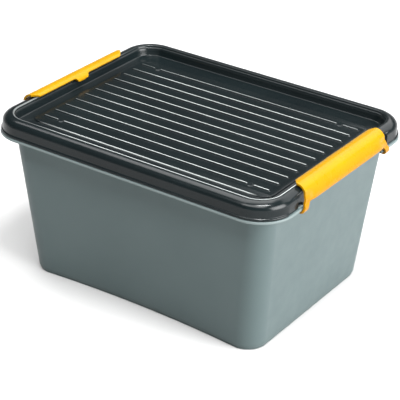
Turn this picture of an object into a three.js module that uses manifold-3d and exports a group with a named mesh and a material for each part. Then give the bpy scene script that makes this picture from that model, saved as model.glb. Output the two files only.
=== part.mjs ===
// Clip-handle storage box with a lift-out tool tray.
//
// Millimetres. +X runs along the long side, +Y along the short side, +Z up.
// The origin is the middle of the underside, on the surface the box stands on.

import * as THREE from 'three';
import { mergeVertices } from 'three/addons/utils/BufferGeometryUtils.js';
import Module from 'manifold-3d';

const wasm = await Module();
wasm.setup();

// ---------------------------------------------------------------- driving dimensions

const RIM = { halfLength: 200, halfWidth: 156.5, radius: 43 };
const WALL_TOP = { z: 188, halfLength: 182, halfWidth: 138.5, radius: 25 };
const BASE = { halfLength: 164.3, halfWidth: 122.3, radius: 26, bow: 6.4 };

const TUB_WALL = 2.2;
const FLOOR = { under: 2, top: 4.4, fillet: 4 };
const FOOT = { height: 4, inset: 1.3, stepTop: 4.8, width: 8 };
const RIM_PLATE = { under: 188.2, top: 190.2 };
const LIP = { bottom: 187, thickness: 2.4, edge: 0.5 };
const RIM_NOTCH = { x: 195.4, halfWidth: 82 };
const UPSTAND = { outerInset: 8.6, innerInset: 10.4, top: 195.6 };

const LID = { bottom: 190.8, top: 210, wall: 2.2, wallInset: 1.4 };
const SET_BACK = { x: 197.4, halfWidth: 114, blend: 6 };
const CLIP_POCKET = { x: 194.4, halfWidth: 97.5 };
const BEAD_CREST = 14.6;
const BEAD_INNER = 17.3;
const GUTTER = { inset: 21, z: 197.2, under: 195.2 };
const FIELD = { halfLength: 168, halfWidth: 113.5, radius: 14, z: 199, under: 197 };
const RIBS = { count: 11, pitch: 19.36, halfLength: 159.6, crestZ: 200.5, crest: 1.2, foot: 2.6 };
const GATE_MARK = { x: 134, radius: 3.5, gap: 4.3, z: 199.7 };

const HINGE = { x: 198.8, z: 188.6, innerRadius: 2.4, outerRadius: 4.8, tailAngle: -128 };
const EAR = { from: 85.5, to: 95.5, slotGap: 0.9 };
const CLIP = { halfLength: 88, topZ: 215.5, flareZ: 203, earHalfLength: 96, earZ: 186 };
const CLIP_CORNER = { tipX: 187.5, edgeX: 179, edgeHalfLength: 78 };
const TAB = { halfLength: 13.5, tipHalfLength: 7.5, z: 210.5, tipZ: 205.5 };

const TRAY = { bottom: 144, floor: 2, wall: 1.8, gap: 2.2, rimInset: 10.9 };
const TRAY_RIM = { under: 190.5, top: 192.5 };
const DIVIDER = { thickness: 2, top: 189.5, buried: 1 };
const GRIP_WALL = 2.8;
const GRIP_HOLE = { halfLength: 46, bottom: 164, top: 181, radius: 4 };
const FRONT_DIVIDERS = [-96, 96];

const CORNER_STEPS = 8;
const LONG_SIDE_STOPS = [-0.72, -0.42, -0.14, 0.14, 0.42, 0.72];

const COLOURS = { tub: 0x6c7a79, lid: 0x2f3638, tray: 0x2b3134, clip: 0xffc21a };

// ---------------------------------------------------------------- outlines and lofts

// A rounded rectangle, counter-clockwise, whose long sides may bow inwards.
function roundedOutline(halfLength, halfWidth, radius, bow = 0) {
  const cx = halfLength - radius;
  const cy = halfWidth - radius;
  const points = [];
  for (let quarter = 0; quarter < 4; quarter += 1) {
    const signX = quarter === 0 || quarter === 3 ? 1 : -1;
    const signY = quarter < 2 ? 1 : -1;
    const start = (quarter * Math.PI) / 2;
    const arc = new THREE.EllipseCurve(signX * cx, signY * cy, radius, radius, start, start + Math.PI / 2);
    points.push(...arc.getPoints(CORNER_STEPS));
    if (quarter % 2 === 0) {
      for (const stop of LONG_SIDE_STOPS) {
        const x = -signX * stop * cx;
        points.push(new THREE.Vector2(x, signY * (halfWidth - bow * (1 - stop * stop))));
      }
    }
  }
  return points;
}

function rimRing(inset, z) {
  const outline = roundedOutline(RIM.halfLength - inset, RIM.halfWidth - inset, RIM.radius - inset);
  return { outline, z };
}

// The tub's tapered wall at one height, measured inwards from its outer face.
function wallRing(inset, z) {
  const t = z / WALL_TOP.z;
  const outline = roundedOutline(
    THREE.MathUtils.lerp(BASE.halfLength, WALL_TOP.halfLength, t) - inset,
    THREE.MathUtils.lerp(BASE.halfWidth, WALL_TOP.halfWidth, t) - inset,
    THREE.MathUtils.lerp(BASE.radius, WALL_TOP.radius, t) - inset,
    BASE.bow * Math.max(0, 1 - t),
  );
  return { outline, z };
}

// Moves the short sides of a ring back to a flat plane, short of the rounded corners.
function setBack(ring, planeX) {
  const outline = ring.outline.map(({ x, y }) => {
    const past = Math.max(0, Math.abs(y) - SET_BACK.halfWidth) / SET_BACK.blend;
    const limit = past > 1 ? Infinity : planeX + past * (RIM.halfLength - planeX);
    return new THREE.Vector2(Math.sign(x) * Math.min(Math.abs(x), limit), y);
  });
  return { outline, z: ring.z };
}

// A closed solid through a list of rings, with a flat cap over the first and the last.
function loft(rings) {
  const count = rings[0].outline.length;
  const positions = rings.flatMap(({ outline, z }) => outline.flatMap(({ x, y }) => [x, y, z]));
  const index = [];
  for (let ring = 0; ring + 1 < rings.length; ring += 1) {
    for (let i = 0; i < count; i += 1) {
      const a = ring * count + i;
      const b = ring * count + ((i + 1) % count);
      index.push(a, b, b + count, a, b + count, a + count);
    }
  }
  const lastRing = (rings.length - 1) * count;
  for (const [a, b, c] of THREE.ShapeUtils.triangulateShape(rings[0].outline, [])) {
    index.push(a, c, b);
  }
  for (const [a, b, c] of THREE.ShapeUtils.triangulateShape(rings[rings.length - 1].outline, [])) {
    index.push(lastRing + a, lastRing + b, lastRing + c);
  }
  const geometry = new THREE.BufferGeometry();
  geometry.setAttribute('position', new THREE.Float32BufferAttribute(positions, 3));
  geometry.setIndex(index);
  return geometry;
}

// ---------------------------------------------------------------- solids

function toSolid(geometry) {
  const bare = geometry.clone();
  for (const name of Object.keys(bare.attributes)) {
    if (name !== 'position') bare.deleteAttribute(name);
  }
  const merged = mergeVertices(bare, 1e-4);
  const mesh = new wasm.Mesh({
    numProp: 3,
    vertProperties: new Float32Array(merged.attributes.position.array),
    triVerts: new Uint32Array(merged.index.array),
  });
  return new wasm.Manifold(mesh);
}

function toGeometry(solid) {
  const mesh = solid.getMesh();
  const geometry = new THREE.BufferGeometry();
  geometry.setAttribute('position', new THREE.Float32BufferAttribute(mesh.vertProperties, 3));
  geometry.setIndex([...mesh.triVerts]);
  return geometry;
}

function box(min, max) {
  const size = max.map((high, axis) => high - min[axis]);
  const geometry = new THREE.BoxGeometry(...size);
  geometry.translate(...max.map((high, axis) => (high + min[axis]) / 2));
  return toSolid(geometry);
}

function extruded(shape, depth, curveSegments = 12) {
  return new THREE.ExtrudeGeometry(shape, { depth, bevelEnabled: false, curveSegments });
}

// A shape drawn in (x, z) and extruded along Y between two stations.
function alongY(shape, fromY, toY) {
  const geometry = extruded(shape, toY - fromY);
  geometry.rotateX(Math.PI / 2);
  geometry.translate(0, toY, 0);
  return toSolid(geometry);
}

// A shape drawn in (y, z) and extruded along X between two stations.
function alongX(shape, fromX, toX) {
  const geometry = extruded(shape, toX - fromX);
  geometry.rotateY(Math.PI / 2);
  geometry.rotateX(Math.PI / 2);
  geometry.translate(fromX, 0, 0);
  return toSolid(geometry);
}

function polygon(points) {
  return new THREE.Shape(points.map(([u, v]) => new THREE.Vector2(u, v)));
}

function named(name, solid, colour, roughness) {
  const material = new THREE.MeshStandardMaterial({ color: colour, roughness, metalness: 0 });
  const mesh = new THREE.Mesh(toGeometry(solid), material);
  mesh.name = name;
  return mesh;
}

// ---------------------------------------------------------------- tub

function makeTub() {
  const rings = [
    wallRing(FOOT.inset + FOOT.width + FLOOR.under, FLOOR.under),
    wallRing(FOOT.inset + FOOT.width, 0),
    wallRing(FOOT.inset + 0.3, 0),
    wallRing(FOOT.inset, 0.5),
    wallRing(FOOT.inset, FOOT.height),
    wallRing(0, FOOT.stepTop),
    wallRing(0, RIM_PLATE.under - 1.5),
    wallRing(-1.5, RIM_PLATE.under),
    rimRing(LIP.thickness + 0.2, RIM_PLATE.under),
    rimRing(LIP.thickness, LIP.bottom),
    rimRing(LIP.edge, LIP.bottom),
    rimRing(0, LIP.bottom + LIP.edge),
    rimRing(0, RIM_PLATE.top - LIP.edge),
    rimRing(LIP.edge, RIM_PLATE.top),
    rimRing(UPSTAND.outerInset, RIM_PLATE.top),
    rimRing(UPSTAND.outerInset + 0.2, UPSTAND.top),
    rimRing(UPSTAND.innerInset - 0.2, UPSTAND.top),
    rimRing(UPSTAND.innerInset, RIM_PLATE.top),
    wallRing(TUB_WALL - 0.8, RIM_PLATE.top),
    wallRing(TUB_WALL, RIM_PLATE.top - 1.2),
    wallRing(TUB_WALL, FLOOR.top + FLOOR.fillet),
    wallRing(TUB_WALL + FLOOR.fillet * 0.3, FLOOR.top + FLOOR.fillet * 0.3),
    wallRing(TUB_WALL + FLOOR.fillet, FLOOR.top),
  ];
  let tub = toSolid(loft(rings));
  for (const cut of [...hookSlots(), ...rimNotches()]) tub = tub.subtract(cut);
  return tub;
}

// Between its two ears each clip leaves room for a thumb, and the rim's edge stands back.
function rimNotches() {
  const far = RIM.halfLength + 1;
  const y = RIM_NOTCH.halfWidth;
  const low = LIP.bottom - 1;
  const high = RIM_PLATE.top + 1;
  return [
    box([RIM_NOTCH.x, -y, low], [far, y, high]),
    box([-far, -y, low], [-RIM_NOTCH.x, y, high]),
  ];
}

// Holes through the rim behind its lip, where the clips' hooks pass.
function hookSlots() {
  const innerX = HINGE.x - HINGE.outerRadius - 0.4;
  const outerX = RIM.halfLength - LIP.thickness - 0.1;
  const slots = [];
  for (const signX of [-1, 1]) {
    for (const signY of [-1, 1]) {
      const x = [signX * innerX, signX * outerX].sort((a, b) => a - b);
      const y = [signY * (EAR.from - EAR.slotGap), signY * (EAR.to + EAR.slotGap)].sort((a, b) => a - b);
      slots.push(box([x[0], y[0], RIM_PLATE.under - 3], [x[1], y[1], RIM_PLATE.top + 1]));
    }
  }
  return slots;
}

// ---------------------------------------------------------------- lid

function makeLid() {
  const field = (grow, z) => ({
    outline: roundedOutline(FIELD.halfLength + grow, FIELD.halfWidth + grow, FIELD.radius + grow),
    z,
  });
  const inside = (inset, z) => setBack(rimRing(inset, z), CLIP_POCKET.x - LID.wall);
  const outside = (inset, z) => setBack(rimRing(inset, z), SET_BACK.x);
  const rings = [
    field(-0.6, FIELD.under),
    field(0.8, GUTTER.under),
    rimRing(GUTTER.inset - 0.6, GUTTER.under),
    inside(BEAD_INNER + LID.wall, LID.top - 4),
    inside(BEAD_INNER + 0.4, LID.top - LID.wall),
    inside(11, LID.top - LID.wall),
    inside(6.4, LID.top - 5.4),
    inside(4.6, LID.top - 9),
    inside(LID.wallInset + LID.wall - 0.2, LID.bottom),
    setBack(rimRing(LID.wallInset - 0.2, LID.bottom), SET_BACK.x - 0.5),
    outside(LID.wallInset - 0.7, LID.bottom + 0.5),
    outside(LID.wallInset - 0.7, LID.bottom + 2.1),
    outside(LID.wallInset, LID.bottom + 2.7),
    outside(LID.wallInset + 1, LID.top - 9),
    ...beadShoulder(LID.wallInset + 1, LID.top - 9, BEAD_CREST, LID.top).map(([inset, z]) => outside(inset, z)),
    rimRing(BEAD_INNER - 1.4, LID.top),
    rimRing(BEAD_INNER - 0.4, LID.top - 0.4),
    rimRing(BEAD_INNER, LID.top - 1.3),
    rimRing(GUTTER.inset - 0.8, GUTTER.z + 1.5),
    rimRing(GUTTER.inset + 0.6, GUTTER.z),
    field(0.5, GUTTER.z),
    field(0, FIELD.z - 0.3),
    field(-0.5, FIELD.z),
  ];
  let lid = toSolid(loft(rings));
  for (const rib of lidRibs()) lid = lid.add(rib);
  for (const mark of gateMarks()) lid = lid.add(mark);
  for (const pocket of clipPockets()) lid = lid.subtract(pocket);
  return lid;
}

// The side wall steps back further where a clip and its ears lie against it.
function clipPockets() {
  const far = RIM.halfLength + 1;
  const y = CLIP_POCKET.halfWidth;
  const low = LID.bottom - 1;
  const high = LID.top + 1;
  return [
    box([CLIP_POCKET.x, -y, low], [far, y, high]),
    box([-far, -y, low], [-CLIP_POCKET.x, y, high]),
  ];
}

// The quarter-ellipse between the lid's side wall and the crest of its bead.
function beadShoulder(wallInset, wallZ, topInset, topZ) {
  const steps = 4;
  return Array.from({ length: steps }, (_, i) => {
    const angle = ((i + 1) / steps) * (Math.PI / 2);
    return [
      topInset - (topInset - wallInset) * Math.cos(angle),
      wallZ + (topZ - wallZ) * Math.sin(angle),
    ];
  });
}

function ribRow(k) {
  return (k - (RIBS.count - 1) / 2) * RIBS.pitch;
}

function lidRibs() {
  const buried = 0.4;
  const profile = polygon([
    [-RIBS.foot / 2, FIELD.z - buried],
    [RIBS.foot / 2, FIELD.z - buried],
    [RIBS.crest / 2, RIBS.crestZ],
    [-RIBS.crest / 2, RIBS.crestZ],
  ]);
  const ribs = [];
  for (let k = 0; k < RIBS.count; k += 1) {
    const marked = k === 0 || k === RIBS.count - 1;
    const inner = GATE_MARK.x - GATE_MARK.gap;
    const outer = GATE_MARK.x + GATE_MARK.gap;
    const runs = marked
      ? [[-RIBS.halfLength, -outer], [-inner, inner], [outer, RIBS.halfLength]]
      : [[-RIBS.halfLength, RIBS.halfLength]];
    for (const [from, to] of runs) {
      ribs.push(alongX(profile, from, to).translate([0, ribRow(k), 0]));
    }
  }
  return ribs;
}

function gateMarks() {
  const height = GATE_MARK.z - FIELD.z + 0.4;
  const marks = [];
  for (const x of [-GATE_MARK.x, GATE_MARK.x]) {
    for (const y of [ribRow(0), ribRow(RIBS.count - 1)]) {
      const disc = new THREE.CylinderGeometry(GATE_MARK.radius, GATE_MARK.radius, height, 24);
      disc.rotateX(Math.PI / 2);
      disc.translate(x, y, GATE_MARK.z - height / 2);
      marks.push(toSolid(disc));
    }
  }
  return marks;
}

// ---------------------------------------------------------------- clips

// The clip's section in (x, z): a lip over the lid's bead, a crowned back and a flared edge.
function clipSection() {
  const shape = new THREE.Shape();
  shape.moveTo(180.2, 209.8);
  shape.quadraticCurveTo(184.2, 211.8, 188.4, 211.8);
  shape.bezierCurveTo(194, 211.6, 196.4, 207.4, 198.2, 203.6);
  shape.quadraticCurveTo(199.8, 200.6, 201.4, 198.2);
  shape.lineTo(201.4, 195.8);
  shape.lineTo(203.9, 195.4);
  shape.quadraticCurveTo(204.4, 197.6, 203.6, 199.4);
  shape.quadraticCurveTo(201.6, 202.6, 200.4, 205.2);
  shape.bezierCurveTo(198, 210.6, 195.2, 214.4, 188.6, 214.6);
  shape.quadraticCurveTo(183.4, 214.4, 180, 212);
  shape.closePath();
  return shape;
}

// One ear in (x, z): a strap that ends in a hook round the rim's lip.
function earSection() {
  const tail = THREE.MathUtils.degToRad(HINGE.tailAngle);
  const shape = new THREE.Shape();
  shape.moveTo(HINGE.x + HINGE.outerRadius, 198);
  shape.lineTo(HINGE.x + HINGE.innerRadius, 198);
  shape.lineTo(HINGE.x + HINGE.innerRadius, HINGE.z);
  shape.absarc(HINGE.x, HINGE.z, HINGE.innerRadius, 0, tail, true);
  shape.absarc(HINGE.x, HINGE.z, HINGE.outerRadius, tail, 0, false);
  shape.closePath();
  return shape;
}

// The thumb tab that hangs from the middle of the lip, inside the lid's bead.
function tabSection() {
  return polygon([
    [180.6, 211.6],
    [179.2, 210.9],
    [177.6, 208.9],
    [177.4, 206.9],
    [178.5, 207.1],
    [179.6, 208.7],
    [181, 210.5],
  ]);
}

// Everything beyond the clip's end, drawn in (y, z) for the +Y end: straight, then flared to the ear.
function endShape() {
  const far = CLIP.earHalfLength + 10;
  const low = HINGE.z - HINGE.outerRadius - 2;
  return polygon([
    [CLIP.halfLength, CLIP.topZ],
    [CLIP.halfLength, CLIP.flareZ],
    [CLIP.earHalfLength, CLIP.earZ],
    [CLIP.earHalfLength, low],
    [far, low],
    [far, CLIP.topZ],
  ]);
}

function mirroredPair(solid) {
  return [solid, solid.mirror([0, 1, 0])];
}

function makeClip() {
  const reach = CLIP.earHalfLength;
  let body = alongY(clipSection(), -reach, reach);
  for (const ear of mirroredPair(alongY(earSection(), EAR.from, EAR.to + 0.5))) body = body.add(ear);

  for (const cut of mirroredPair(alongX(endShape(), 170, 215))) body = body.subtract(cut);

  const corner = polygon([
    [CLIP_CORNER.edgeX - 4, CLIP_CORNER.edgeHalfLength - 6],
    [CLIP_CORNER.tipX, CLIP.halfLength],
    [CLIP_CORNER.tipX, CLIP.halfLength + 8],
    [CLIP_CORNER.edgeX - 4, CLIP.halfLength + 8],
  ]);
  const prism = extruded(corner, 12);
  prism.translate(0, 0, 205);
  for (const cut of mirroredPair(toSolid(prism))) body = body.subtract(cut);

  let tab = alongY(tabSection(), -TAB.halfLength, TAB.halfLength);
  const side = polygon([
    [TAB.halfLength, TAB.z],
    [TAB.tipHalfLength, TAB.tipZ],
    [TAB.halfLength + 5, TAB.tipZ],
    [TAB.halfLength + 5, TAB.z],
  ]);
  for (const cut of mirroredPair(alongX(side, 170, 190))) tab = tab.subtract(cut);
  return body.add(tab);
}

// ---------------------------------------------------------------- tray

function trayRing(inset, z) {
  return wallRing(TUB_WALL + TRAY.gap + inset, z);
}

function makeTray() {
  const floorTop = TRAY.bottom + TRAY.floor;
  const rings = [
    trayRing(3, TRAY.bottom),
    trayRing(0.8, TRAY.bottom + 0.8),
    trayRing(0, TRAY.bottom + 3),
    trayRing(0, TRAY_RIM.under),
    rimRing(TRAY.rimInset + 0.3, TRAY_RIM.under),
    rimRing(TRAY.rimInset, TRAY_RIM.under + 0.4),
    rimRing(TRAY.rimInset, TRAY_RIM.top - 0.4),
    rimRing(TRAY.rimInset + 0.4, TRAY_RIM.top),
    trayRing(TRAY.wall - 0.6, TRAY_RIM.top),
    trayRing(TRAY.wall, TRAY_RIM.top - 0.8),
    trayRing(TRAY.wall, floorTop + 3),
    trayRing(TRAY.wall + 3, floorTop),
  ];
  let tray = toSolid(loft(rings)).add(gripDivider());
  for (const divider of crossDividers()) tray = tray.add(divider);
  return tray;
}

// Half the length or width between the middles of the tray's walls, at one height.
function trayReach(side, z) {
  const t = z / WALL_TOP.z;
  const outer = THREE.MathUtils.lerp(BASE[side], WALL_TOP[side], t);
  return outer - TUB_WALL - TRAY.gap - TRAY.wall + DIVIDER.buried;
}

// The lengthwise wall that is also the handle, with a rounded hole to grip it by.
function gripDivider() {
  const bottom = TRAY.bottom + TRAY.floor / 2;
  const low = trayReach('halfLength', bottom) - 1;
  const high = trayReach('halfLength', DIVIDER.top);
  const shape = polygon([[-low, bottom], [low, bottom], [high, DIVIDER.top], [-high, DIVIDER.top]]);
  const halfHeight = (GRIP_HOLE.top - GRIP_HOLE.bottom) / 2;
  const middle = (GRIP_HOLE.top + GRIP_HOLE.bottom) / 2;
  const cx = GRIP_HOLE.halfLength - GRIP_HOLE.radius;
  const cz = halfHeight - GRIP_HOLE.radius;
  const hole = new THREE.Path();
  for (let quarter = 0; quarter < 4; quarter += 1) {
    const signX = quarter === 0 || quarter === 3 ? 1 : -1;
    const signZ = quarter < 2 ? 1 : -1;
    const start = (quarter * Math.PI) / 2;
    hole.absarc(signX * cx, middle + signZ * cz, GRIP_HOLE.radius, start, start + Math.PI / 2, false);
  }
  hole.closePath();
  shape.holes.push(hole);
  return alongY(shape, -GRIP_WALL / 2, GRIP_WALL / 2);
}

// Short walls across the front half; the back half stays whole for long tools.
function crossDividers() {
  const bottom = TRAY.bottom + TRAY.floor / 2;
  const bowAt = (x) => BASE.bow * (1 - bottom / WALL_TOP.z) * (1 - (x / BASE.halfLength) ** 2);
  return FRONT_DIVIDERS.map((x) => {
    const low = trayReach('halfWidth', bottom) - 1 - bowAt(x);
    const high = trayReach('halfWidth', DIVIDER.top) - 0.3;
    const shape = polygon([[0, bottom], [-low, bottom], [-high, DIVIDER.top], [0, DIVIDER.top]]);
    return alongX(shape, x - DIVIDER.thickness / 2, x + DIVIDER.thickness / 2);
  });
}

// ---------------------------------------------------------------- assembly

const clip = makeClip();
const storageBox = new THREE.Group();
storageBox.add(
  named('tub', makeTub(), COLOURS.tub, 0.45),
  named('lid', makeLid(), COLOURS.lid, 0.35),
  named('tray', makeTray(), COLOURS.tray, 0.45),
  named('clip_right', clip, COLOURS.clip, 0.3),
  named('clip_left', clip.rotate([0, 0, 180]), COLOURS.clip, 0.3),
);

export default storageBox;
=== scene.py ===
"""Looks of the clip-handle storage box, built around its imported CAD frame.

Shapes are worked out in millimetres in the frame of the CAD model and become metres when their
mesh is made. Every CAD node is replaced by one finely lofted piece of the same size and place.
"""

import math

import bpy
from mathutils import Matrix, Vector
from mathutils.geometry import tessellate_polygon

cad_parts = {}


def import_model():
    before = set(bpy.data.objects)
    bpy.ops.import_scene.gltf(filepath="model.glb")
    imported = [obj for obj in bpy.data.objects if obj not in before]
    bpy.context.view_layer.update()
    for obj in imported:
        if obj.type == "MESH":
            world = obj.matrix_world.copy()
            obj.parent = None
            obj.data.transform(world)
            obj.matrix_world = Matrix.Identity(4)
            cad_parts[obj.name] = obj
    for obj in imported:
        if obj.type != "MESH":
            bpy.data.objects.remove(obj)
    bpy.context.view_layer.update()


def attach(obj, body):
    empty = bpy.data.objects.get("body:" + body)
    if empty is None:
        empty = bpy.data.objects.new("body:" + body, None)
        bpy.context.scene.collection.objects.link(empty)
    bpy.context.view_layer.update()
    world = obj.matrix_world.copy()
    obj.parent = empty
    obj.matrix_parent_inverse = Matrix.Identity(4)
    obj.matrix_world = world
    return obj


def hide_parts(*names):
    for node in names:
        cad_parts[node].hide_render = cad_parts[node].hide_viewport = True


MM = 0.001

# ------------------------------------------------------------------ sizes, in millimetres

# Rounded rectangles are (half length, half width, corner radius).
RIM = (200.0, 156.5, 43.0)
WALL_TOP = (182.0, 138.5, 25.0)
WALL_BASE = (164.3, 122.3, 26.0)
WALL_TOP_Z = 188.0
BASE_BOW = 6.4
TUB_WALL = 2.2

RIM_NOTCH_X = 195.4
RIM_NOTCH_Y = 82.0
EAR_SLOT_X = (193.6, 197.5)
EAR_SLOT_Y = (84.6, 96.4)
NOTCH_Z = (186.0, 191.0)
SLOT_Z = (185.0, 191.0)
# The painted highlight on the rim's lip fades in between two heights and out between two insets.
LIP_HIGHLIGHT_Z = (186.9, 187.3)
LIP_HIGHLIGHT_TOP_Z = 190.3
LIP_HIGHLIGHT_INSET = (0.4, 1.2)

# The lid's short sides are flat between rounded ends, with a pocket under each clip.
SIDE_X = 197.4
SIDE_END_Y = (116.5, 121.0)
POCKET_X = 194.4
POCKET_END_Y = (97.6, 98.7)
LID_WALL = 2.2
LID_EDGE = 1.4
# Outer side of the lid below its bead as (inset, z), from the lower edge up.
LID_SKIRT = (
    (1.6, 190.8), (1.05, 190.95), (0.75, 191.3), (0.7, 191.9), (0.8, 192.5), (1.1, 193.0),
    (1.55, 193.3), (2.0, 193.5), (2.2, 193.9), (2.25, 194.6), (2.4, 198.0), (2.6, 201.0),
)
BEAD_CREST = 14.6
BEAD_WIDTH = 12.0
BEAD_FOOT_Z = 201.0
BEAD_HEIGHT = 9.0

FIELD = (168.0, 113.5, 14.0)
FIELD_Z = 199.0
GRID_HALF_X = 163.0
GRID_HALF_Y = 104.0
RIB_COUNT = 11
RIB_PITCH = 19.36
RIB_HALF_LENGTH = 159.6
RIB_HEIGHT = 1.5
RIB_CREST = 0.25
RIB_FOOT = 1.25
RIB_END_SLOPE = 1.4
# The first and last rib stop at each gate mark: gone at the first distance, whole at the second.
GATE_GAP = (3.5, 4.7)
GATE_X = 134.0
GATE_RADIUS = 3.5
GATE_EDGE = 0.5
GATE_HEIGHT = 0.7

# Painted highlights on the lid's raised edges, standing in for light caught on them. They grow from
# their least to 1 between two values of x, and fall off between two values of y.
HIGHLIGHT_LEAST = 0.2
HIGHLIGHT_X = (-162.0, -95.0)
HIGHLIGHT_SLANT = 0.5
HIGHLIGHT_SLANT_Y = -100.0
LAST_RIB_HIGHLIGHT = 0.5
LAST_RIB_HIGHLIGHT_Y = (85.0, 97.0)
CREST_SHARPNESS = 16
BEAD_EDGE_HIGHLIGHT = 0.8
BEAD_EDGE_HIGHLIGHT_Y = (20.0, 110.0)
BEAD_EDGE_INSET = (15.0, 17.1)
BEAD_EDGE_Z = 209.0
FIELD_EDGE_HIGHLIGHT = 0.7
FIELD_EDGE_HALF = 148.0
FIELD_EDGE_Y = (-113.8, -112.0)
FIELD_EDGE_Z = 198.4

HINGE_X = 198.8
HINGE_Z = 188.6
HOOK_RADIUS = 3.6
HOOK_TAIL = math.radians(-128)
CLIP_THICKNESS = 2.4
# Edges of the clip that turn by more than this angle are rounded.
CLIP_EDGE_DEGREES = 50.0
CLIP_EDGE_RADIUS = 0.9
CLIP_HALF = 88.0
CLIP_EAR_HALF = 95.6
CLIP_FLARE_Z = 203.0
CLIP_EAR_Z = 186.0
FLARE_EASE = 0.12 / math.pi
# The clip's painted shade is full below the first height and gone above the second.
FLARE_SHADE_Z = (196.0, 210.0)
# Middle line of the clip's section as (x, z), from the tab's tip over the crest to the hooks.
TAB_LINE = ((178.0, 206.9), (178.2, 208.3), (179.1, 209.9))
SECTION_LINE = (
    (180.4, 211.1), (183.8, 212.7), (188.5, 213.3), (192.5, 212.2), (195.9, 209.6),
    (198.3, 206.1), (200.3, 202.7), (202.0, 199.7), (202.9, 196.9), (202.8, 195.8),
)
STRAP_LINE = ((202.5, 193.6), (202.4, 191.0), (202.4, 188.6))
# Along the sheet, measured from its lip's edge: the tab beyond it, the lip's cut corners, and
# the shoulder that splits the sheet into its upper and lower rows.
TAB_REACH = 6.4
TAB_SIDE_Y = (6.5, 13.8)
LIP_CHAMFER_FROM = 78.5
LIP_CHAMFER_DEPTH = 7.2
SHOULDER = 27.0
# The sheet's ends, as shares of its half length, and how they curve in towards the box.
FILLET_START = 0.862
FILLET_DEPTH = 5.0
EAR_START = 0.912
DENT_DEPTH = 2.2
DENT_SHARE = (0.8, 0.96)
DENT_LOW_Z = (190.5, 196.0)
DENT_HIGH_Z = (201.0, 208.0)

TRAY_GAP = 2.2
TRAY_WALL = 1.8
TRAY_FLOOR_Z = 144.0
# The tray's dividing walls bite into its floor at their foot and into its shell at the top.
DIVIDER_FOOT = 145.0
DIVIDER_TOP = 189.5
DIVIDER_BITE = 1.0
CROSS_WALL = 2.0
CROSS_WALL_TOP_BITE = 0.7
CROSS_WALLS = (-96.0, 96.0)
GRIP_WALL = 2.8
GRIP_HALF = 46.0
GRIP_Z = (164.0, 181.0)
GRIP_RADIUS = 4.0

# ------------------------------------------------------------------ fineness of the meshes

# Signs of x and y at the four corners, counter-clockwise.
QUARTERS = ((1, 1), (-1, 1), (-1, -1), (1, -1))
CORNER_STEPS = 32
# Stops along a straight side as shares of its half length; the close pairs are a pocket's ends.
LONG_STOPS = [1 - i / 14 for i in range(1, 28)]
SHORT_STOPS = [0.87, 0.86, 0.65, 0.43, 0.22, 0.0, -0.22, -0.43, -0.65, -0.86, -0.87]
BEAD_STEPS = 14
LINE_STEPS = 10
HOOK_STEPS = 16
GRIP_STEPS = 8
CLIP_EDGE_STEPS = 3
SHARP_DEGREES = 40.0
CLIP_SHARP_DEGREES = 60.0

# Offsets of the lid's grid lines from each gate mark, rib and rib end, and the even lines between.
GATE_OFFSETS = [i * 0.6 for i in range(-12, 13)]
RIB_OFFSETS = [side * o for o in (0.0, 0.2, 0.4, 0.6, 0.8, 1.0, 1.25, 1.5) for side in (-1, 1)]
RIB_END_OFFSETS = (-1.8, -1.4, -1.0, -0.6, -0.2, 0.2)
GRID_COARSE = (24, 2)
GRID_LEAST_GAP = 0.8

# Columns of a clip's sheet as shares of its half length, closer where its outline turns.
TAB_COLUMNS = (0.0, 0.03, 0.06, 0.08, 0.1, 0.115, 0.13, 0.14, 0.15, 0.16, 0.18)
BODY_COLUMNS = (0.25, 0.33, 0.41, 0.49, 0.57, 0.65, 0.73, 0.8, 0.84)
FILLET_COLUMNS = (FILLET_START, 0.874, 0.885, 0.895, 0.903, 0.909)
EAR_COLUMNS = (EAR_START, 0.928, 0.944, 0.96, 0.976, 0.988, 1.0)
UPPER_ROWS = 30
LOWER_ROWS = 8
EAR_ROWS = 16

# ------------------------------------------------------------------ surfaces, in metres

# Scales are in cells per metre. NOISE_RANGE is where most of a noise texture's values lie.
CLOUD_SCALE = 14.0
GLOSS_SCALE = 60.0
GRAIN_SCALE = 1400.0
GRAIN_DETAIL = 2.0
GRAIN_DEPTH = 0.0002
NOISE_RANGE = (0.3, 0.7)

# ------------------------------------------------------------------ studio, in metres and watts

LIGHT_TARGET = (0, 0, 0.12)
HORIZON_FADE = (0.03, 0.27)
HORIZON_LIGHT = 1.05
OVERHEAD_LIGHT = 0.08
FLOOR_HALF_MM = 2200.0
FLOOR_TINT = (0.45, 0.90)
FLOOR_FADE = (0.6, 1.5)
FLOOR_ROUGHNESS = 0.8
FLOOR_SPECULAR = 0.2
CAMERA_TARGET = (0, 0, 0.1)
CAMERA_AZIMUTH = math.radians(34.10)
CAMERA_ELEVATION = math.radians(28.13)
CAMERA_ROLL = math.radians(1.61)
CAMERA_DISTANCE = 1.91420
CAMERA_SHIFT_RIGHT = 0.00173
CAMERA_SHIFT_UP = -0.00420
CAMERA_LENS = 141.7
CAMERA_SENSOR = 36.0
CAMERA_REACH = 60.0


# ------------------------------------------------------------------ small helpers

def lerp(a, b, t):
    return a + (b - a) * t


def clamp(value):
    return min(1.0, max(0.0, value))


def smooth_step(low, high, value):
    t = clamp((value - low) / (high - low))
    return t * t * (3 - 2 * t)


def arc(x, y, radius, quarter, steps):
    """Points of a quarter circle about (x, y); quarter 0 starts at the +X side."""
    points = []
    for step in range(steps + 1):
        angle = (quarter + step / steps) * math.pi / 2
        points.append((x + radius * math.cos(angle), y + radius * math.sin(angle)))
    return points


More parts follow.
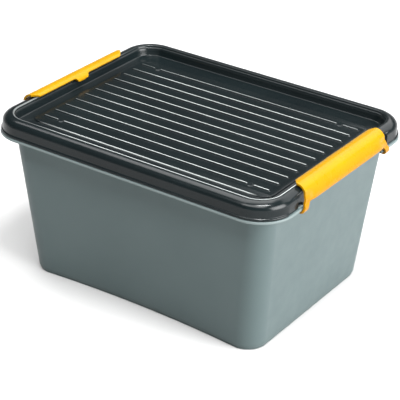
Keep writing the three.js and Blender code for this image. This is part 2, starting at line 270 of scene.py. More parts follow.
def outline(half_length, half_width, radius, bow=0.0):
    """Points round a rounded rectangle, counter-clockwise, whose long sides may bow inwards."""
    cx = half_length - radius
    cy = half_width - radius
    points = []
    for quarter, (sx, sy) in enumerate(QUARTERS):
        points += arc(sx * cx, sy * cy, radius, quarter, CORNER_STEPS)
        if quarter % 2:
            points += [(sx * half_length, sy * cy * t) for t in SHORT_STOPS]
        else:
            points += [(sx * cx * t, sy * (half_width - bow * (1 - t * t))) for t in LONG_STOPS]
    return points


def ring(points, z):
    return [(x, y, z) for x, y in points]


def rim_ring(inset, z):
    length, width, radius = RIM
    return ring(outline(length - inset, width - inset, radius - inset), z)


def wall_ring(inset, z):
    t = z / WALL_TOP_Z
    length, width, radius = (lerp(a, b, t) - inset for a, b in zip(WALL_BASE, WALL_TOP))
    return ring(outline(length, width, radius, BASE_BOW * max(0.0, 1 - t)), z)


def field_ring(grow, z):
    length, width, radius = FIELD
    return ring(outline(length + grow, width + grow, radius + grow), z)


def rim_inset(x, y):
    """How far a point lies inside the rim's outline."""
    length, width, radius = RIM
    past_x = max(0.0, abs(x) - (length - radius))
    past_y = max(0.0, abs(y) - (width - radius))
    return radius - math.hypot(past_x, past_y)


def set_back(points, side_x, pocket_x):
    """Moves the short sides of a ring back to one flat plane, and further where the clips lie."""
    moved = []
    for x, y, z in points:
        limit = lerp(pocket_x, side_x, smooth_step(*POCKET_END_Y, abs(y)))
        limit = lerp(limit, RIM[0], smooth_step(*SIDE_END_Y, abs(y)))
        moved.append((math.copysign(min(abs(x), limit), x), y, z))
    return moved


def fillet(start, tip, end, steps=4):
    """Points (inset, z) of a rounded corner, as a quadratic curve from start towards tip to end."""
    points = []
    for i in range(steps + 1):
        t = i / steps
        shares = ((1 - t) ** 2, 2 * t * (1 - t), t * t)
        points.append(tuple(
            sum(share * part for share, part in zip(shares, parts))
            for parts in zip(start, tip, end)
        ))
    return points


def loft_faces(ring_count, size):
    """Quads between neighbouring rings of one vertex list."""
    faces = []
    for r in range(ring_count - 1):
        for i in range(size):
            a = r * size + i
            b = r * size + (i + 1) % size
            faces.append((a, b, b + size, a + size))
    return faces


def cap_faces(rings, index, down):
    """Triangles that close one ring of a loft, facing down or up."""
    size = len(rings[0])
    loop = [Vector((x, y, 0)) for x, y, _ in rings[index]]
    first = index * size
    faces = []
    for triangle in tessellate_polygon([loop]):
        a, b, c = (loop[i] for i in triangle)
        up = (b - a).cross(c - a).z > 0
        order = triangle if up != down else triangle[::-1]
        faces.append(tuple(first + i for i in order))
    return faces


def loft(rings):
    """A closed shell through a list of rings."""
    vertices = [p for points in rings for p in points]
    faces = loft_faces(len(rings), len(rings[0]))
    faces += cap_faces(rings, 0, down=True)
    faces += cap_faces(rings, len(rings) - 1, down=False)
    return vertices, faces


def shade(mesh, sharp_degrees):
    """Smooth shading, except across edges sharper than an angle."""
    mesh.shade_smooth()
    mesh.set_sharp_from_angle(angle=math.radians(sharp_degrees))


def make_mesh(name, vertices, faces):
    mesh = bpy.data.meshes.new(name)
    mesh.from_pydata([Vector(v) * MM for v in vertices], [], faces)
    mesh.validate()
    shade(mesh, SHARP_DEGREES)
    return mesh


def add_object(name, data):
    obj = bpy.data.objects.new(name, data)
    bpy.context.scene.collection.objects.link(obj)
    return obj


def make_object(name, mesh, material):
    obj = add_object(name, mesh)
    mesh.materials.append(material)
    return obj


def place(obj, body, node):
    """Rides a finished piece on its CAD body in place of its CAD node."""
    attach(obj, body)
    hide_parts(node)


def paint(mesh, name, values):
    """Stores one number for each vertex, which materials read by name."""
    layer = mesh.attributes.new(name, "FLOAT", "POINT")
    layer.data.foreach_set("value", values)


def apply_modifiers(obj):
    """Bakes an object's modifiers into its mesh."""
    depsgraph = bpy.context.evaluated_depsgraph_get()
    baked = bpy.data.meshes.new_from_object(obj.evaluated_get(depsgraph))
    obj.modifiers.clear()
    obj.data = baked


def boolean(obj, tool, operation):
    """Joins a tool to an object, or cuts it out, and uses the tool up."""
    modifier = obj.modifiers.new(operation.title(), "BOOLEAN")
    modifier.operation = operation
    modifier.solver = "EXACT"
    modifier.object = tool
    apply_modifiers(obj)
    bpy.data.objects.remove(tool)


# ------------------------------------------------------------------ materials

def new_material(name):
    material = bpy.data.materials.new(name)
    material.use_nodes = True
    return material, material.node_tree, material.node_tree.nodes["Principled BSDF"]


def noise(tree, scale, detail=3.0):
    """A noise texture that is fixed to the object, with its scale in cells per metre."""
    coordinates = tree.nodes.new("ShaderNodeTexCoord")
    texture = tree.nodes.new("ShaderNodeTexNoise")
    texture.inputs["Scale"].default_value = scale
    texture.inputs["Detail"].default_value = detail
    tree.links.new(coordinates.outputs["Object"], texture.inputs["Vector"])
    return texture.outputs["Fac"]


def map_range(tree, value, source, target, interpolation="LINEAR"):
    """Maps a node's output from one range of values onto another."""
    node = tree.nodes.new("ShaderNodeMapRange")
    node.interpolation_type = interpolation
    for name, number in zip(("From Min", "From Max", "To Min", "To Max"), source + target):
        node.inputs[name].default_value = number
    tree.links.new(value, node.inputs["Value"])
    return node.outputs["Result"]


def colour_mix(tree, factor, first, second):
    """Blends two colours, of which the first may be a node's output."""
    node = tree.nodes.new("ShaderNodeMix")
    node.data_type = "RGBA"
    tree.links.new(factor, node.inputs["Factor"])
    if isinstance(first, tuple):
        node.inputs["A"].default_value = (*first, 1)
    else:
        tree.links.new(first, node.inputs["A"])
    node.inputs["B"].default_value = (*second, 1)
    return node.outputs["Result"]


def add_bump(tree, shader, height, strength, distance):
    bump = tree.nodes.new("ShaderNodeBump")
    bump.inputs["Strength"].default_value = strength
    bump.inputs["Distance"].default_value = distance
    tree.links.new(height, bump.inputs["Height"])
    tree.links.new(bump.outputs["Normal"], shader.inputs["Normal"])


def moulded_plastic(name, dark, light, roughness, specular, grain):
    """Injection-moulded plastic: faint clouding in colour and gloss over a fine eroded grain."""
    material, tree, shader = new_material(name)
    cloud = map_range(tree, noise(tree, CLOUD_SCALE), NOISE_RANGE, (0.0, 1.0))
    tree.links.new(colour_mix(tree, cloud, dark, light), shader.inputs["Base Color"])
    gloss = map_range(tree, noise(tree, GLOSS_SCALE), NOISE_RANGE, roughness)
    tree.links.new(gloss, shader.inputs["Roughness"])
    shader.inputs["Specular IOR Level"].default_value = specular
    add_bump(tree, shader, noise(tree, GRAIN_SCALE, GRAIN_DETAIL), grain, GRAIN_DEPTH)
    return material


def add_painted_light(material, colour):
    """Blends a plastic's colour towards a painted highlight or painted shade colour where its
    mesh's painted-light attribute marks it.
    """
    tree = material.node_tree
    shader = tree.nodes["Principled BSDF"]
    painted_light = tree.nodes.new("ShaderNodeAttribute")
    painted_light.attribute_name = "painted_light"
    plain = shader.inputs["Base Color"].links[0].from_socket
    blend = colour_mix(tree, painted_light.outputs["Fac"], plain, colour)
    tree.links.new(blend, shader.inputs["Base Color"])
    return material


def tub_plastic():
    """Blue-grey plastic, with a painted highlight along the lip."""
    plain = moulded_plastic(
        "tub_plastic",
        dark=(0.061, 0.084, 0.085),
        light=(0.067, 0.091, 0.092),
        roughness=(0.38, 0.46),
        specular=0.2,
        grain=0.10,
    )
    return add_painted_light(plain, (0.104, 0.128, 0.128))


def lid_plastic():
    """Near-black gloss plastic, with painted highlights along its ribs and edges."""
    plain = moulded_plastic(
        "lid_plastic",
        dark=(0.0035, 0.0055, 0.0062),
        light=(0.0045, 0.0073, 0.008),
        roughness=(0.17, 0.22),
        specular=0.21,
        grain=0.04,
    )
    return add_painted_light(plain, (0.50, 0.53, 0.52))


def tray_plastic():
    """Charcoal plastic with a satin face."""
    return moulded_plastic(
        "tray_plastic",
        dark=(0.012, 0.016, 0.017),
        light=(0.016, 0.020, 0.021),
        roughness=(0.4, 0.5),
        specular=0.3,
        grain=0.12,
    )


def clip_plastic():
    """Warm yellow plastic, with painted shade making it deeper orange towards its flared edge and
    ears.
    """
    plain = moulded_plastic(
        "clip_plastic",
        dark=(0.26, 0.132, 0.001),
        light=(0.28, 0.148, 0.001),
        roughness=(0.24, 0.32),
        specular=0.12,
        grain=0.04,
    )
    return add_painted_light(plain, (0.25, 0.110, 0.001))


# ------------------------------------------------------------------ tub

def tub_profile():
    """Rings of the tub from the recess underneath, round the outside and down the inside."""
    # The foot ring and the low band above it.
    rings = [wall_ring(11.3, 2.0), wall_ring(10.6, 2.0)]
    rings += [wall_ring(i, z) for i, z in fillet((9.6, 0.6), (9.4, 0.0), (8.8, 0.0), 2)]
    rings += [wall_ring(i, z) for i, z in fillet((2.6, 0.0), (1.3, 0.0), (1.3, 1.2))]
    rings += [wall_ring(1.2, 3.9)]
    rings += [wall_ring(i, z) for i, z in fillet((1.1, 4.1), (0.3, 4.15), (0.05, 4.8), 3)]
    # The outer wall and the underside of the rim.
    rings += [wall_ring(0.0, z) for z in (5.6, 20, 40, 60, 80, 100, 120, 140, 160, 175, 184.5)]
    rings += [wall_ring(-i, z) for i, z in fillet((0.0, 186.0), (0.1, 188.1), (2.4, 188.2))]
    rings += [rim_ring(8.0, 188.2), rim_ring(3.4, 188.2)]
    # The lip at the rim's edge.
    rings += [rim_ring(i, z) for i, z in fillet((2.9, 188.1), (2.45, 188.1), (2.4, 187.6), 2)]
    rings += [rim_ring(i, z) for i, z in fillet((2.3, 187.2), (2.2, 187.0), (1.9, 187.0), 2)]
    rings += [rim_ring(i, z) for i, z in fillet((0.7, 187.0), (0.0, 187.0), (0.0, 187.6), 3)]
    rings += [rim_ring(i, z) for i, z in fillet((0.1, 188.4), (0.3, 190.1), (1.7, 190.2), 5)]
    # The rim's flat top, with the ridge that stands up inside the lid.
    rings += [rim_ring(8.3, 190.2), rim_ring(8.6, 190.5), rim_ring(8.7, 195.1)]
    rings += [rim_ring(i, z) for i, z in fillet((8.8, 195.4), (9.0, 195.6), (9.4, 195.6), 2)]
    rings += [rim_ring(i, z) for i, z in fillet((9.8, 195.6), (10.2, 195.6), (10.3, 195.1), 2)]
    rings += [rim_ring(10.4, 190.5), rim_ring(10.7, 190.2)]
    # The inner wall, down to the edge of the floor.
    rings += [wall_ring(i, z) for i, z in fillet((0.6, 190.2), (1.9, 190.2), (2.2, 188.6))]
    rings += [wall_ring(TUB_WALL, z) for z in (186, 170, 150, 130, 110, 90, 70, 50, 30, 10)]
    inner_foot = fillet((TUB_WALL, 8.4), (TUB_WALL + 0.6, 4.5), (6.4, 4.4), 5)
    rings += [wall_ring(i, z) for i, z in inner_foot]
    return rings


def cutting_box(xs, ys, zs):
    """A plain box between two values of x, y and z."""
    corners = [(x, y, z) for x in xs for y in ys for z in zs]
    faces = [(0, 1, 3, 2), (4, 6, 7, 5), (0, 4, 5, 1), (2, 3, 7, 6), (0, 2, 6, 4), (1, 5, 7, 3)]
    return add_object("cut", make_mesh("cut", corners, faces))


def rim_cuts():
    """The openings in the rim: a notch under each clip and a slot for each hook."""
    spans = [((RIM_NOTCH_X, RIM[0] + 1), (-RIM_NOTCH_Y, RIM_NOTCH_Y), NOTCH_Z)]
    for end in (-1, 1):
        spans.append((EAR_SLOT_X, sorted(end * y for y in EAR_SLOT_Y), SLOT_Z))
    cuts = []
    for side in (-1, 1):
        for xs, ys, zs in spans:
            cuts.append(cutting_box(sorted(side * x for x in xs), ys, zs))
    return cuts


def lip_highlight(x, y, z):
    """How much painted highlight a point of the tub gets: only the outer face of its lip."""
    if z >= LIP_HIGHLIGHT_TOP_Z:
        return 0.0
    return smooth_step(*LIP_HIGHLIGHT_Z, z) * (1 - smooth_step(*LIP_HIGHLIGHT_INSET, rim_inset(x, y)))


def make_tub(material):
    vertices, faces = loft(tub_profile())
    mesh = make_mesh("tub_shell", vertices, faces)
    # The outer face of the lip gets a painted highlight.
    paint(mesh, "painted_light", [lip_highlight(x, y, z) for x, y, z in vertices])
    tub = make_object("tub_shell", mesh, material)
    for cut in rim_cuts():
        boolean(tub, cut, "DIFFERENCE")
    tub.data.set_sharp_from_angle(angle=math.radians(SHARP_DEGREES))
    place(tub, "tub", "tub")


# ------------------------------------------------------------------ lid

def bead_side():
    """The bead's outer side as (inset, z): a quarter of an ellipse up to its crest."""
    points = []
    for step in range(1, BEAD_STEPS + 1):
        turn = step / BEAD_STEPS * math.pi / 2
        inset = BEAD_CREST - BEAD_WIDTH * math.cos(turn)
        points.append((inset, BEAD_FOOT_Z + BEAD_HEIGHT * math.sin(turn)))
    return points


def outer_lid_rings():
    profile = list(LID_SKIRT) + bead_side()
    return [set_back(rim_ring(inset, z), SIDE_X, POCKET_X) for inset, z in profile]


def inner_lid_rings():
    """The underside: from the hollow of the raised field out to the skirt's lower edge."""
    hollow = [(-1.2, 197.0), (-0.6, 196.7), (0.1, 195.5), (0.8, 195.2)]
    rings = [field_ring(grow, z) for grow, z in hollow]
    profile = [(22.0, 195.2), (21.0, 195.6), (20.4, 197.0), (19.6, 203.0), (19.1, 205.0)]
    profile += fillet((18.8, 206.0), (18.2, 207.7), (15.5, 207.8))
    profile += fillet((9.5, 207.8), (6.6, 207.6), (5.6, 204.6))
    profile += [(4.6, 201.0), (3.8, 192.0), (3.3, 191.0)]
    inside_x = POCKET_X - LID_WALL
    rings += [set_back(rim_ring(inset, z), inside_x, inside_x) for inset, z in profile]
    rings.append(set_back(rim_ring(2.6, 190.8), SIDE_X - LID_EDGE, POCKET_X - LID_EDGE))
    return rings


def top_lid_rings():
    """The bead's flat top and inner face, the gutter and the raised edge of the field."""
    profile = fillet((15.4, 210.0), (16.7, 209.95), (17.2, 208.4), 6)
    profile += [(17.6, 206.4), (18.6, 203.0), (19.7, 199.8)]
    profile += fillet((20.1, 198.6), (20.4, 197.3), (21.8, 197.2))
    step = fillet((0.9, 197.2), (0.3, 197.25), (0.1, 197.8), 3)
    step += fillet((-0.1, 198.5), (-0.2, 199.0), (-0.7, 199.0), 3)
    rings = [rim_ring(inset, z) for inset, z in profile]
    return rings + [field_ring(grow, z) for grow, z in step]


def rib_row(k):
    """Where rib number k lies across the lid."""
    return (k - (RIB_COUNT - 1) / 2) * RIB_PITCH


def rib_share(x, y):
    """Height of the nearest rib at a point, from 0 to 1."""
    k = min(RIB_COUNT - 1, max(0, round(y / RIB_PITCH + (RIB_COUNT - 1) / 2)))
    across = 1 - smooth_step(RIB_CREST, RIB_FOOT, abs(y - rib_row(k)))
    along = 1 - smooth_step(RIB_HALF_LENGTH - RIB_END_SLOPE, RIB_HALF_LENGTH, abs(x))
    if k in (0, RIB_COUNT - 1):
        along *= smooth_step(*GATE_GAP, abs(abs(x) - GATE_X))
    return across * along


def highlight_share(x, y):
    """How strong the painted highlight on the lid's raised edges is: least at the -X end and on the
    last rib.
    """
    slanted_x = x + HIGHLIGHT_SLANT * min(0.0, y - HIGHLIGHT_SLANT_Y)
    along = lerp(HIGHLIGHT_LEAST, 1.0, smooth_step(*HIGHLIGHT_X, slanted_x))
    return along * lerp(1.0, LAST_RIB_HIGHLIGHT, smooth_step(*LAST_RIB_HIGHLIGHT_Y, y))


def gate_share(x, y):
    """Height of the round gate marks at a point, from 0 to 1."""
    distance = math.hypot(abs(x) - GATE_X, abs(y) - rib_row(RIB_COUNT - 1))
    return 1 - smooth_step(GATE_RADIUS - GATE_EDGE, GATE_RADIUS + GATE_EDGE, distance)


def stations(centres, offsets, low, high, coarse):
    """Sorted grid lines: fine ones round each centre and coarse ones between."""
    lines = {round(c + o, 4) for c in centres for o in offsets if low < c + o < high}
    step = (high - low) / coarse
    for i in range(coarse + 1):
        line = low + i * step
        apart = all(abs(line - other) > GRID_LEAST_GAP for other in lines)
        if apart or i in (0, coarse):
            lines.add(round(line, 4))
    return sorted(lines)


def grid_lines():
    """The x and y values of the grid: close together round the ribs and gate marks."""
    rows = [rib_row(k) for k in range(RIB_COUNT)]
    gates = (-GATE_X, GATE_X)
    xs = set(stations(gates, GATE_OFFSETS, -GRID_HALF_X, GRID_HALF_X, GRID_COARSE[0]))
    ys = set(stations(rows, RIB_OFFSETS, -GRID_HALF_Y, GRID_HALF_Y, GRID_COARSE[1]))
    for side in (-1, 1):
        xs |= {side * (RIB_HALF_LENGTH + offset) for offset in RIB_END_OFFSETS}
        ys |= {side * rows[-1] + offset for offset in GATE_OFFSETS if abs(offset) > RIB_OFFSETS[-1]}
    return sorted(xs), sorted(ys)


def field_grid():
    """The ribbed field as a grid of heights, with a painted highlight marked along the ribs'
    crests.
    """
    xs, ys = grid_lines()
    vertices, painted_light = [], []
    for y in ys:
        for x in xs:
            share = rib_share(x, y)
            height = RIB_HEIGHT * share + GATE_HEIGHT * gate_share(x, y)
            vertices.append((x, y, FIELD_Z + height))
            # The ribs' crests get a painted highlight, fading where less light catches them.
            painted_light.append(share ** CREST_SHARPNESS * highlight_share(x, y))
    columns = len(xs)
    faces = []
    for row in range(len(ys) - 1):
        for column in range(columns - 1):
            a = row * columns + column
            faces.append((a, a + 1, a + 1 + columns, a + columns))
    last = (len(ys) - 1) * columns
    border = list(range(columns))
    border += [row * columns + columns - 1 for row in range(1, len(ys))]
    border += [last + column for column in range(columns - 2, -1, -1)]
    border += [row * columns for row in range(len(ys) - 2, 0, -1)]
    return vertices, faces, painted_light, border


def edge_highlight(x, y, z):
    """How much painted highlight a point off the ribbed grid gets: the inner edge of the bead and
    of the field.
    """
    if z > BEAD_EDGE_Z and BEAD_EDGE_INSET[0] < rim_inset(x, y) < BEAD_EDGE_INSET[1]:
        return BEAD_EDGE_HIGHLIGHT * highlight_share(x, y) * (1 - smooth_step(*BEAD_EDGE_HIGHLIGHT_Y, y))
    on_front_edge = FIELD_EDGE_Y[0] < y < FIELD_EDGE_Y[1] and abs(x) < FIELD_EDGE_HALF
    if z > FIELD_EDGE_Z and on_front_edge:
        return FIELD_EDGE_HIGHLIGHT * highlight_share(x, y)
    return 0.0


def lid_mesh():
    """The lid as one closed mesh: lofted rings, the ribbed grid and a flat strip between them."""
    rings = inner_lid_rings() + outer_lid_rings() + top_lid_rings()
    size = len(rings[0])
    vertices = [p for points in rings for p in points]
    faces = loft_faces(len(rings), size) + cap_faces(rings, 0, down=True)
    grid_vertices, grid_faces, grid_highlight, border = field_grid()
    first = len(vertices)
    edge = [(len(rings) - 1) * size + i for i in range(size)]
    vertices += grid_vertices
    faces += [tuple(first + i for i in face) for face in grid_faces]
    loops = [edge, [first + i for i in border]]
    flat = [i for loop in loops for i in loop]
    outlines = [[Vector((vertices[i][0], vertices[i][1], 0)) for i in loop] for loop in loops]
    for triangle in tessellate_polygon(outlines):
        a, b, c = (flat[i] for i in triangle)
        corner_a, corner_b, corner_c = (Vector(vertices[i]) for i in (a, b, c))
        upward = (corner_b - corner_a).cross(corner_c - corner_a).z > 0
        faces.append((a, b, c) if upward else (c, b, a))
    # The bead's and field's inner edges get painted highlights too.
    ring_highlight = [edge_highlight(x, y, z) for x, y, z in vertices[:first]]
    mesh = make_mesh("lid_shell", vertices, faces)
    paint(mesh, "painted_light", ring_highlight + grid_highlight)
    return mesh


def make_lid(material):
    lid = make_object("lid_shell", lid_mesh(), material)
    place(lid, "lid", "lid")


# ------------------------------------------------------------------ clips

def catmull_rom(points, steps):
    """A smooth line through points, as a dense list."""
    ends = [points[0]] + list(points) + [points[-1]]
    dense = []
    for p0, p1, p2, p3 in zip(ends, ends[1:], ends[2:], ends[3:]):
        for i in range(steps):
            t = i / steps
            dense.append(tuple(
                0.5 * (2 * b + (c - a) * t + (2 * a - 5 * b + 4 * c - d) * t * t
                       + (3 * b - a - 3 * c + d) * t ** 3)
                for a, b, c, d in zip(p0, p1, p2, p3)
            ))
    dense.append(points[-1])
    return dense


def hook_line():
    """The open hook round the rim's lip, as a part of a circle about the hinge."""
    points = []
    for i in range(1, HOOK_STEPS + 1):
        angle = HOOK_TAIL * i / HOOK_STEPS
        x = HINGE_X + HOOK_RADIUS * math.cos(angle)
        points.append((x, HINGE_Z + HOOK_RADIUS * math.sin(angle)))
    return points


class SheetLine:
    """The clip's middle line, measured by length from the edge of its lip."""

    def __init__(self):
        control = TAB_LINE + SECTION_LINE + STRAP_LINE
        self.points = catmull_rom(control, LINE_STEPS) + hook_line()
        self.lengths = [0.0]
        for a, b in zip(self.points, self.points[1:]):
            self.lengths.append(self.lengths[-1] + math.dist(a, b))
        lip_point = LINE_STEPS * len(TAB_LINE)
        edge_point = lip_point + LINE_STEPS * (len(SECTION_LINE) - 1)
        self.lip = self.lengths[lip_point]
        self.edge = self.lengths[edge_point] - self.lip
        self.end = self.lengths[-1] - self.lip

    def at(self, distance):
        """The point at one distance along the line from the lip's edge."""
        length = min(max(distance + self.lip, 0.0), self.lengths[-1])
        i = 0
        while i < len(self.lengths) - 2 and self.lengths[i + 1] < length:
            i += 1
        t = (length - self.lengths[i]) / (self.lengths[i + 1] - self.lengths[i])
        return tuple(lerp(a, b, t) for a, b in zip(self.points[i], self.points[i + 1]))


def half_length_at(z):
    """Half the clip's length at one height: straight ends that flare out into the ears."""
    share = clamp((CLIP_FLARE_Z - z) / (CLIP_FLARE_Z - CLIP_EAR_Z))
    eased = share + FLARE_EASE * math.sin(math.pi * (share * 2 - 1))
    return lerp(CLIP_HALF, CLIP_EAR_HALF, eased)


def end_dent(share, z):
    """How far the sheet's ends curve in towards the box between its crest and its hooks."""
    upright = smooth_step(*DENT_LOW_Z, z) * (1 - smooth_step(*DENT_HIGH_Z, z))
    return DENT_DEPTH * smooth_step(*DENT_SHARE, share) * upright


def lip_start(share):
    """Where the sheet begins at a share of its half length: its tab, lip or cut corner."""
    y = share * CLIP_HALF
    tab = -TAB_REACH * (1 - smooth_step(*TAB_SIDE_Y, y))
    cut = max(0.0, y - LIP_CHAMFER_FROM) / (CLIP_HALF - LIP_CHAMFER_FROM)
    return tab + LIP_CHAMFER_DEPTH * cut


def lower_end(line, share):
    """Where the sheet's body ends: its free edge, or further down where it turns into an ear."""
    if share <= FILLET_START:
        return line.edge
    t = min(1.0, (share - FILLET_START) / (EAR_START - FILLET_START))
    return line.edge + FILLET_DEPTH * (1 - math.sqrt(max(0.0, 1 - t * t)))


def clip_sheet():
    """The clip's middle surface: a body with an ear at each end."""
    line = SheetLine()
    half = TAB_COLUMNS + BODY_COLUMNS + FILLET_COLUMNS + EAR_COLUMNS
    shares = sorted({side * share for share in half for side in (-1, 1)})
    vertices, faces, columns = [], [], []
    for share in shares:
        top = lip_start(abs(share))
        bottom = lower_end(line, abs(share))
        stops = [lerp(top, SHOULDER, i / UPPER_ROWS) for i in range(UPPER_ROWS + 1)]
        stops += [lerp(SHOULDER, bottom, i / LOWER_ROWS) for i in range(1, LOWER_ROWS + 1)]
        if abs(share) >= EAR_START:
            stops += [lerp(bottom, line.end, i / EAR_ROWS) for i in range(1, EAR_ROWS + 1)]
        columns.append(range(len(vertices), len(vertices) + len(stops)))
        for x, z in map(line.at, stops):
            vertices.append((x - end_dent(abs(share), z), share * half_length_at(z), z))
    for left, right in zip(columns, columns[1:]):
        for i in range(min(len(left), len(right)) - 1):
            faces.append((left[i], left[i + 1], right[i + 1], right[i]))
    return vertices, faces


def make_clip(body, turned, material):
    """One clip, at the +X end or turned half a turn to the -X end."""
    vertices, faces = clip_sheet()
    if turned:
        vertices = [(-x, -y, z) for x, y, z in vertices]
    name = body + "_cover"
    mesh = make_mesh(name, vertices, faces)
    # Painted shade: the clip turns deeper orange towards its lower flare and ears.
    paint(mesh, "painted_light", [1 - smooth_step(*FLARE_SHADE_Z, z) for _, _, z in vertices])
    clip = make_object(name, mesh, material)
    solid = clip.modifiers.new("Thickness", "SOLIDIFY")
    solid.thickness = CLIP_THICKNESS * MM
    solid.offset = 0.0
    solid.use_even_offset = True
    bevel = clip.modifiers.new("Edges", "BEVEL")
    bevel.width = CLIP_EDGE_RADIUS * MM
    bevel.segments = CLIP_EDGE_STEPS
    bevel.limit_method = "ANGLE"
    bevel.angle_limit = math.radians(CLIP_EDGE_DEGREES)
    apply_modifiers(clip)
    shade(clip.data, CLIP_SHARP_DEGREES)
    place(clip, body, body)


# ------------------------------------------------------------------ tray

def tray_ring(inset, z):
    return wall_ring(TUB_WALL + TRAY_GAP + inset, z)


def tray_shell():
    """The tray without its walls, from its floor up to its rim and down inside."""
    z = TRAY_FLOOR_Z
    rings = [tray_ring(i, h) for i, h in fillet((3.2, z), (0.5, z), (0.1, z + 3.0))]
    rings += [tray_ring(0.0, h) for h in (z + 8, z + 20, z + 35, 188.6)]
    rings += [tray_ring(-i, h) for i, h in fillet((0.1, 189.6), (0.2, 190.5), (1.4, 190.5), 3)]
    rings += [rim_ring(i, h) for i, h in fillet((11.5, 190.5), (10.95, 190.5), (10.95, 191.0), 3)]
    rings += [rim_ring(i, h) for i, h in fillet((10.95, 192.0), (10.95, 192.5), (11.5, 192.5), 3)]
    rings += [tray_ring(i, h) for i, h in fillet((0.4, 192.5), (1.7, 192.5), (TRAY_WALL, 191.2))]
    rings += [tray_ring(TRAY_WALL, h) for h in (188.0, 175.0, 160.0, z + 6.5)]
    inner_foot = fillet((TRAY_WALL, z + 5.4), (2.0, z + 2.1), (5.2, z + 2.0))
    rings += [tray_ring(i, h) for i, h in inner_foot]
    return loft(rings)


def tray_reach(side, z):
    """Half the inner length (side 0) or width (side 1) of the tray at one height."""
    outer = lerp(WALL_BASE[side], WALL_TOP[side], z / WALL_TOP_Z)
    return outer - TUB_WALL - TRAY_GAP - TRAY_WALL


def twice_area(loop):
    """Twice the area of a 2-D outline, positive where it runs counter-clockwise."""
    return sum(
        loop[i - 1][0] * loop[i][1] - loop[i][0] * loop[i - 1][1] for i in range(len(loop))
    )


def plate(name, outer, hole, thickness, place_point):
    """A flat plate from a 2-D outline and an optional hole."""
    loops = [outer] + ([hole] if hole else [])
    flat = [p for loop in loops for p in loop]
    count = len(flat)
    vertices = [place_point(u, v, w) for w in (-thickness / 2, thickness / 2) for u, v in flat]
    faces = []
    for a, b, c in tessellate_polygon([[Vector((u, v, 0)) for u, v in loop] for loop in loops]):
        if twice_area([flat[a], flat[b], flat[c]]) < 0:
            a, c = c, a
        faces.append((c, b, a))
        faces.append((a + count, b + count, c + count))
    start = 0
    for loop in loops:
        size = len(loop)
        outward = (twice_area(loop) > 0) == (loop is outer)
        for i in range(size):
            a, b = start + i, start + (i + 1) % size
            side = (a, b, b + count, a + count)
            faces.append(side if outward else (b, a, a + count, b + count))
        start += size
    return add_object(name, make_mesh(name, vertices, faces))


def grip_hole():
    """Outline of the hand hole through the grip wall."""
    middle = (GRIP_Z[1] + GRIP_Z[0]) / 2
    cx = GRIP_HALF - GRIP_RADIUS
    cz = (GRIP_Z[1] - GRIP_Z[0]) / 2 - GRIP_RADIUS
    points = []
    for quarter, (sx, sz) in enumerate(QUARTERS):
        points += arc(sx * cx, middle + sz * cz, GRIP_RADIUS, quarter, GRIP_STEPS)
    return points


def grip_wall():
    """The lengthwise wall, which the tray is lifted by."""
    low = tray_reach(0, DIVIDER_FOOT)
    high = tray_reach(0, DIVIDER_TOP) + DIVIDER_BITE
    outer = [(-low, DIVIDER_FOOT), (low, DIVIDER_FOOT), (high, DIVIDER_TOP), (-high, DIVIDER_TOP)]
    return plate("grip_wall", outer, grip_hole(), GRIP_WALL, lambda u, v, w: (u, -w, v))


def cross_wall(x):
    """A wall from the grip wall to the tray's front, at one x."""
    bow = BASE_BOW * (1 - DIVIDER_FOOT / WALL_TOP_Z) * (1 - (x / WALL_BASE[0]) ** 2)
    low = tray_reach(1, DIVIDER_FOOT) - bow
    high = tray_reach(1, DIVIDER_TOP) + CROSS_WALL_TOP_BITE
    outer = [(-low, DIVIDER_FOOT), (0, DIVIDER_FOOT), (0, DIVIDER_TOP), (-high, DIVIDER_TOP)]
    return plate("cross_wall", outer, None, CROSS_WALL, lambda u, v, w: (x + w, u, v))


def make_tray(material):
    tray = make_object("tray_shell", make_mesh("tray_shell", *tray_shell()), material)
    boolean(tray, grip_wall(), "UNION")
    for x in CROSS_WALLS:
        boolean(tray, cross_wall(x), "UNION")
    tray.data.materials.clear()
    tray.data.materials.append(material)
    shade(tray.data, SHARP_DEGREES)
    place(tray, "tray", "tray")


# ------------------------------------------------------------------ floor, lights and camera

def make_floor():
    """A plain floor that grows paler away from the lights, so that it looks evenly white."""
    material, tree, shader = new_material("studio_floor")
    position = tree.nodes.new("ShaderNodeTexCoord")
    distance = tree.nodes.new("ShaderNodeVectorMath")
    distance.operation = "LENGTH"
    tree.links.new(position.outputs["Object"], distance.inputs[0])
    tint = map_range(tree, distance.outputs["Value"], FLOOR_FADE, FLOOR_TINT)
    tree.links.new(tint, shader.inputs["Base Color"])
    shader.inputs["Roughness"].default_value = FLOOR_ROUGHNESS
    shader.inputs["Specular IOR Level"].default_value = FLOOR_SPECULAR
    half = FLOOR_HALF_MM
    corners = [(-half, -half, 0), (half, -half, 0), (half, half, 0), (-half, half, 0)]
    mesh = make_mesh("studio_floor", corners, [(0, 1, 2, 3)])
    floor = make_object("studio_floor", mesh, material)


def make_world():
    """A studio that is white round the horizon and dim overhead."""
    world = bpy.data.worlds.new("studio")
    bpy.context.scene.world = world
    world.use_nodes = True
    tree = world.node_tree
    direction = tree.nodes.new("ShaderNodeTexCoord")
    parts = tree.nodes.new("ShaderNodeSeparateXYZ")
    tree.links.new(direction.outputs["Generated"], parts.inputs["Vector"])
    light = (HORIZON_LIGHT, OVERHEAD_LIGHT)
    strength = map_range(tree, parts.outputs["Z"], HORIZON_FADE, light, "SMOOTHSTEP")
    background = tree.nodes["Background"]
    background.inputs["Color"].default_value = (1.0, 1.0, 1.0, 1)
    tree.links.new(strength, background.inputs["Strength"])


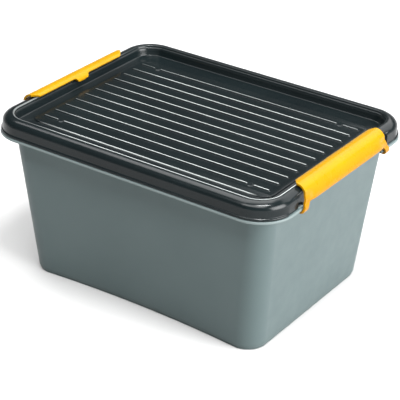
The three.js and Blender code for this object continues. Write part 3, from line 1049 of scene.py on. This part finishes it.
def add_softbox(name, position, size, power, spread=180):
    """A rectangular light aimed at the middle of the box."""
    light = bpy.data.lights.new(name, "AREA")
    light.shape = "RECTANGLE"
    light.size, light.size_y = size
    light.energy = power
    light.spread = math.radians(spread)
    obj = add_object(name, light)
    obj.location = position
    aim = Vector(LIGHT_TARGET) - Vector(position)
    obj.rotation_euler = aim.to_track_quat("-Z", "Y").to_euler()


def add_lights():
    add_softbox("main_strip", (0.62, -0.38, 2.45), (0.9, 0.15), 70)
    add_softbox("front_fill", (0.2, -1.25, 2.35), (2.4, 0.8), 66)
    add_softbox("key_right", (3.0, 0.15, 1.35), (2.6, 2.4), 93, spread=90)
    add_softbox("ceiling", (-0.7, 0.6, 2.2), (1.8, 1.4), 52)
    add_softbox("back", (0.4, 1.7, 1.6), (2.4, 1.2), 26)


def add_camera():
    """A long-lens camera in front of the box, to its right and above it, rolled a little."""
    back = Vector((
        math.sin(CAMERA_AZIMUTH) * math.cos(CAMERA_ELEVATION),
        -math.cos(CAMERA_AZIMUTH) * math.cos(CAMERA_ELEVATION),
        math.sin(CAMERA_ELEVATION),
    ))
    level_right = Vector((0, 0, 1)).cross(back).normalized()
    level_up = back.cross(level_right)
    right = math.cos(CAMERA_ROLL) * level_right + math.sin(CAMERA_ROLL) * level_up
    up = math.cos(CAMERA_ROLL) * level_up - math.sin(CAMERA_ROLL) * level_right
    position = Vector(CAMERA_TARGET) + back * CAMERA_DISTANCE
    position += right * CAMERA_SHIFT_RIGHT + up * CAMERA_SHIFT_UP
    data = bpy.data.cameras.new("camera")
    data.sensor_width = CAMERA_SENSOR
    data.lens = CAMERA_LENS
    data.clip_end = CAMERA_REACH
    camera = add_object("camera", data)
    turn = Matrix((right, up, back)).transposed().to_4x4()
    camera.matrix_world = Matrix.Translation(position) @ turn
    bpy.context.scene.camera = camera


# ------------------------------------------------------------------ assembly

def main():
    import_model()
    bpy.context.scene.view_settings.view_transform = "Standard"
    make_tub(tub_plastic())
    make_lid(lid_plastic())
    make_tray(tray_plastic())
    yellow = clip_plastic()
    make_clip("clip_right", False, yellow)
    make_clip("clip_left", True, yellow)
    make_floor()
    make_world()
    add_lights()
    add_camera()


main()
